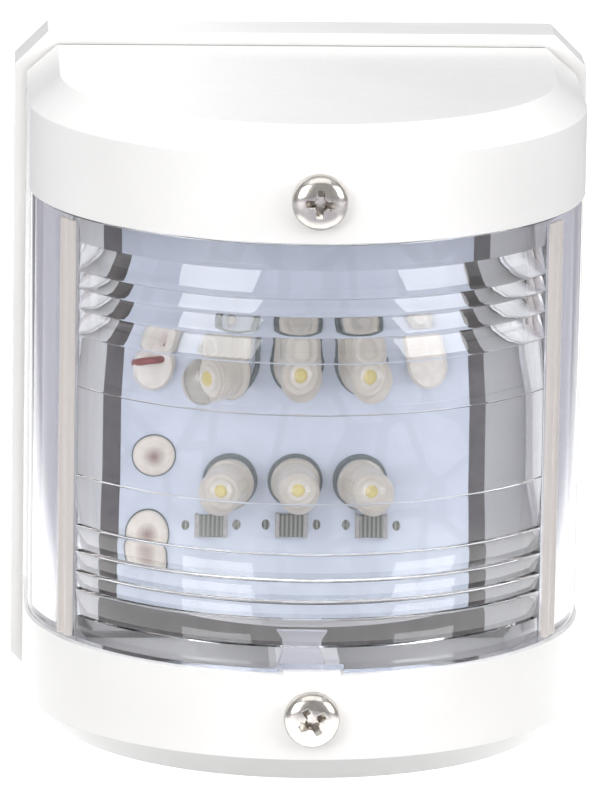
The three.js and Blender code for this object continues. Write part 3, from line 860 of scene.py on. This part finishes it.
def lampHead():
    radius, flange, height = lamp["radius"], lamp["flange"], lamp["height"]
    shoulder = height - radius
    outline = [(0, 0), (flange - 0.1 * mm, 0), (flange, -0.1 * mm), (flange, -0.8 * mm),
               (flange - 0.1 * mm, -0.9 * mm), (radius + 0.05 * mm, -0.95 * mm),
               (radius, -1.1 * mm)]
    outline += [(radius * cos(radians(a)), -shoulder - radius * sin(radians(a)))
                for a in range(0, 90, 9)]
    outline.append((0, -height))
    body = turned("lamp", outline, steps=40)
    shade(body, 40)
    return body


# The milky middle of the casting, stepped where the lead frame's shelves lie in it
def lampCore():
    outline = [(0, -0.1 * mm), (2.95 * mm, -0.1 * mm), (2.95 * mm, -0.7 * mm),
               (2.5 * mm, -0.9 * mm), (2.5 * mm, -1.6 * mm)]
    radius, depth = 2.5, -1.6
    for drop, rise in ((0.3, 0.9), (0.35, 0.8), (0.35, 0.7), (0.35, 0.6), (0.3, 0.4)):
        radius -= drop
        outline.append((radius * mm, depth * mm))
        depth -= rise
        outline.append((radius * mm, depth * mm))
    outline += [((radius - 0.12) * mm, (depth - 0.1) * mm), (0, (depth - 0.1) * mm)]
    core = turned("core", outline, steps=36)
    soften(core, 0.08 * mm, 2, 40, 50)
    return core


def lampSpot():
    spot = turned("spot", [(0, -4.95 * mm), (0.42 * mm, -4.95 * mm), (0.5 * mm, -5.1 * mm),
                           (0.36 * mm, -5.3 * mm), (0, -5.36 * mm)], steps=28)
    shade(spot, 40)
    return spot


def lampLegs():
    side = lamp["legSide"]
    legs = block("legs", (-side - 0.27 * mm, -0.2 * mm, -0.25 * mm),
                 (-side + 0.27 * mm, 1.6 * mm, 0.25 * mm))
    other = block("leg", (side - 0.27 * mm, -0.2 * mm, -0.25 * mm),
                  (side + 0.27 * mm, 1.6 * mm, 0.25 * mm))
    combine(legs, [other])
    soften(legs, 0.05 * mm, 1, 40)
    return legs


def makeLamps():
    bases = [(lampHead(), "lamp_epoxy", epoxy), (lampCore(), "lamp_epoxy", milky),
             (lampSpot(), "lamp_epoxy", phosphor), (lampLegs(), "solder", tin)]
    for row in rows:
        for column, lean in zip(columns, lamp["lean"][row]):
            turn = radians(lean)
            x, z = lampFoot(row, column)
            clear = lamp["flange"] * abs(sin(turn)) + 0.5 * mm
            place = (x, boardLow.y - clear, z, turn)
            for base, slot, material in bases:
                piece = copyPiece(base, f"{base.name}_{row}_{column}")
                shift(piece, *place)
                finishPiece(piece, [material])
                if base.name == "lamp":
                    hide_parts(f"led_{row}_{column}")
    for base, slot, material in bases:
        bpy.data.objects.remove(base)


makeLamps()
print("lamps ready")


board = {"edge": 0.12 * mm, "postHole": 3.6 * mm, "leadHole": 2.2 * mm, "backingHole": 7.6 * mm,
         "backingLead": 2.6 * mm, "backingShadeDrop": 0.9 * mm, "lampRing": (3.5 * mm, 2.9 * mm, 0.5 * mm),
         "viaSide": 3.2 * mm, "dab": 2.6 * mm, "rim": 2.75 * mm, "link": 0.42 * mm,
         "terminal": 0.55 * mm}


def makeBoard():
    low, high = boardLow, boardHigh
    body = block("board", low, high)
    posts = [bar("hole", board["postHole"], (low.y - mm, high.y + mm), post.x, post.z, 24)
             for post in postPlaces]
    lands = [middle("solder_joint_upper"), middle("solder_joint_lower")]
    wires = [bar("hole", board["leadHole"], (low.y - mm, high.y + mm), land.x, land.z, 24)
             for land in lands]
    cutAway(body, posts + wires)
    soften(body, board["edge"], 1, 40)
    finishPiece(body, [resist], ["circuit_board"])


# The dark sheet behind the board, a painted shade for the dark gaps round the board's edges; its
# bottom edge is drawn a little lower than the part, to widen the painted shade below the board
def makeBacking():
    low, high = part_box("board_backing")
    sheet = block("boardBacking", (low.x, low.y, low.z - board["backingShadeDrop"]), high)
    through = (low.y - mm, high.y + mm)
    holes = [bar("hole", board["backingHole"], through, post.x, post.z, 24)
             for post in postPlaces]
    for name in ("upper", "lower"):
        land = middle(f"solder_joint_{name}")
        holes.append(bar("hole", board["backingLead"], through, land.x, land.z, 24))
    diodeLow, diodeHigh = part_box("polarity_diode")
    gap = 0.5 * mm
    holes.append(block("hole", (diodeLow.x - gap, low.y - mm, diodeLow.z - gap),
                       (diodeHigh.x + gap, high.y + mm, diodeHigh.z + gap)))
    cutAway(sheet, holes)
    soften(sheet, 0.1 * mm, 1, 40)
    finishPiece(sheet, [backingShade], ["board_backing"])


# A flat ring on the board's face
def boardRing(name, outer, inner, x, z, thick):
    face = boardLow.y
    return turned(name, [(inner, face + 0.02 * mm), (inner, face - thick),
                         (outer, face - thick), (outer, face + 0.02 * mm),
                         (inner, face + 0.02 * mm)], x, z, 48)


def makeBoardDetails():
    # Dark rings round each lamp's foot: painted shade in the gap round it
    outer, inner, thick = board["lampRing"]
    for row in rows:
        for column in columns:
            lampRing = boardRing(f"washer_{row}_{column}", outer, inner, *lampFoot(row, column),
                               thick)
            soften(lampRing, 0.06 * mm, 2, 40)
            finishPiece(lampRing, [paintedRingShade])
    for column in columns:
        makeResistor(column)
    makeVias()
    makeDabs()
    makeJumper()


# Small dark discs either side of each resistor: painted shade standing in for the dark inside
# plated holes
def makeVias():
    face = boardLow.y
    first = turned("vias", [(0.05 * mm, face + 0.02 * mm), (0.05 * mm, face - 0.05 * mm),
                            (0.5 * mm, face - 0.05 * mm), (0.52 * mm, face + 0.02 * mm),
                            (0.05 * mm, face + 0.02 * mm)], 0, 0, 16)
    for column in columns:
        for side in (-1, 1):
            spot = middle(f"resistor_{column}")
            via = copyPiece(first, f"via_{column}_{'A' if side < 0 else 'B'}")
            shift(via, spot.x + side * board["viaSide"], 0, spot.z)
            finishPiece(via, [chip])
    bpy.data.objects.remove(first)


# The dabs that seal the leads into the board: flat buttons with a raised middle
def makeDabs():
    face = boardLow.y
    for name in ("upper", "lower"):
        place = middle(f"solder_joint_{name}")
        outline = [(0, face - 0.02 * mm), (2.5 * mm, face - 0.02 * mm),
                   (board["dab"], face - 0.15 * mm),
                   (2.55 * mm, face - 0.4 * mm), (2.3 * mm, face - 0.6 * mm),
                   (1.5 * mm, face - 0.75 * mm), (0.8 * mm, face - 0.85 * mm),
                   (0, face - 0.9 * mm)]
        dab = turned(f"dab_{name}", outline, place.x, place.z, 40)
        shade(dab, 50)
        finishPiece(dab, [sealedLead(name, place)], [f"solder_joint_{name}"])
        # A thin grey-green rim round each dab: painted shade at its edge
        rim = boardRing(f"dabRim_{name}", board["rim"], 2.5 * mm, place.x, place.z, 0.12 * mm)
        finishPiece(rim, [paintedRingShade])


# Cream silicone with the brown stub of the lead showing through its middle
def sealedLead(name, place):
    material, tree, surface, coords = newMaterial(f"cream_silicone_{name}", "#e6dcd0", 0.4,
                                                  IOR=1.43)
    centre = addNode(tree, "Mapping", {"Location": -place / (1.5 * mm),
                                       "Scale": [1 / (1.5 * mm)] * 3}, {"Vector": coords})
    ball = addNode(tree, "TexGradient", links={"Vector": centre.outputs["Vector"]},
                   gradient_type="SPHERICAL")
    mix = addNode(tree, "Mix", links={"Factor": ball.outputs["Fac"]}, data_type="RGBA")
    tree.links.new(drift(tree, coords, ["#e8dfd4", "#ddd3c6"], 1 * mm), mix.inputs[6])
    mix.inputs[7].default_value = linear("#7a5547")
    tree.links.new(mix.outputs[2], surface.inputs["Base Color"])
    roughen(tree, surface, coords, 0.5 * mm, 0.3, 0.5)
    return material


# A short red link beside the left rivet, its two ends going back into the board
def makeJumper():
    post = postPlaces[0]
    face = boardLow.y
    path = [(-2.5, 0.3, 0.1), (-2.4, -0.9, 0.5), (-1.6, -2.2, 0.9), (-0.2, -2.5, 1.1),
            (1.0, -2.0, 0.9), (1.5, 0.3, 0.6)]
    points = [Vector((post.x + x * mm, face + y * mm, post.z + z * mm)) for x, y, z in path]
    deselectAll()
    bpy.ops.curve.primitive_bezier_curve_add(location=(0, 0, 0))
    wire = bpy.context.object
    wire.data.splines.clear()
    spline = wire.data.splines.new("NURBS")
    spline.points.add(len(points) - 1)
    for control, point in zip(spline.points, points):
        control.co = (*point, 1)
    spline.use_endpoint_u = True
    spline.order_u = 4
    wire.data.bevel_depth = board["link"]
    wire.data.bevel_resolution = 4
    wire.data.use_fill_caps = True
    bpy.ops.object.convert(target="MESH")
    wire = settle("redLink")
    shade(wire, 50)
    finishPiece(wire, [redPvc])


def makeResistor(column):
    low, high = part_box(f"resistor_{column}")
    length = high.x - low.x
    end = board["terminal"]
    body = block("resistor_" + column, (low.x + end, low.y, low.z + 0.1 * mm),
                 (high.x - end, high.y, high.z - 0.1 * mm))
    soften(body, 0.06 * mm, 1, 40)
    finishPiece(body, [chip], ["resistor_" + column])
    for side, name in ((-1, "A"), (1, "B")):
        x = (low.x + high.x) / 2 + side * (length / 2 - end / 2)
        cap = block(f"terminal_{column}_{name}", (x - end / 2, low.y - 0.03 * mm, low.z),
                    (x + end / 2, high.y + 0.13 * mm, high.z))
        soften(cap, 0.06 * mm, 1, 40)
        finishPiece(cap, [tin])


makeBoard()
makeBacking()
makeBoardDetails()
print("board ready")

# Parts whose solids are right already keep them and take their finish here
finishes = {"housing_seal": nitrile, "screw_ring_upper": nitrile,
            "screw_ring_lower": nitrile, "insert_upper": brass, "insert_lower": brass,
            "board_rivet_left": nylon, "board_rivet_right": nylon, "lead_red": redPvc,
            "lead_black": blackPvc, "cable_grommet": nitrile, "polarity_diode": chip}
for node, material in finishes.items():
    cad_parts[node].data.materials[0] = material
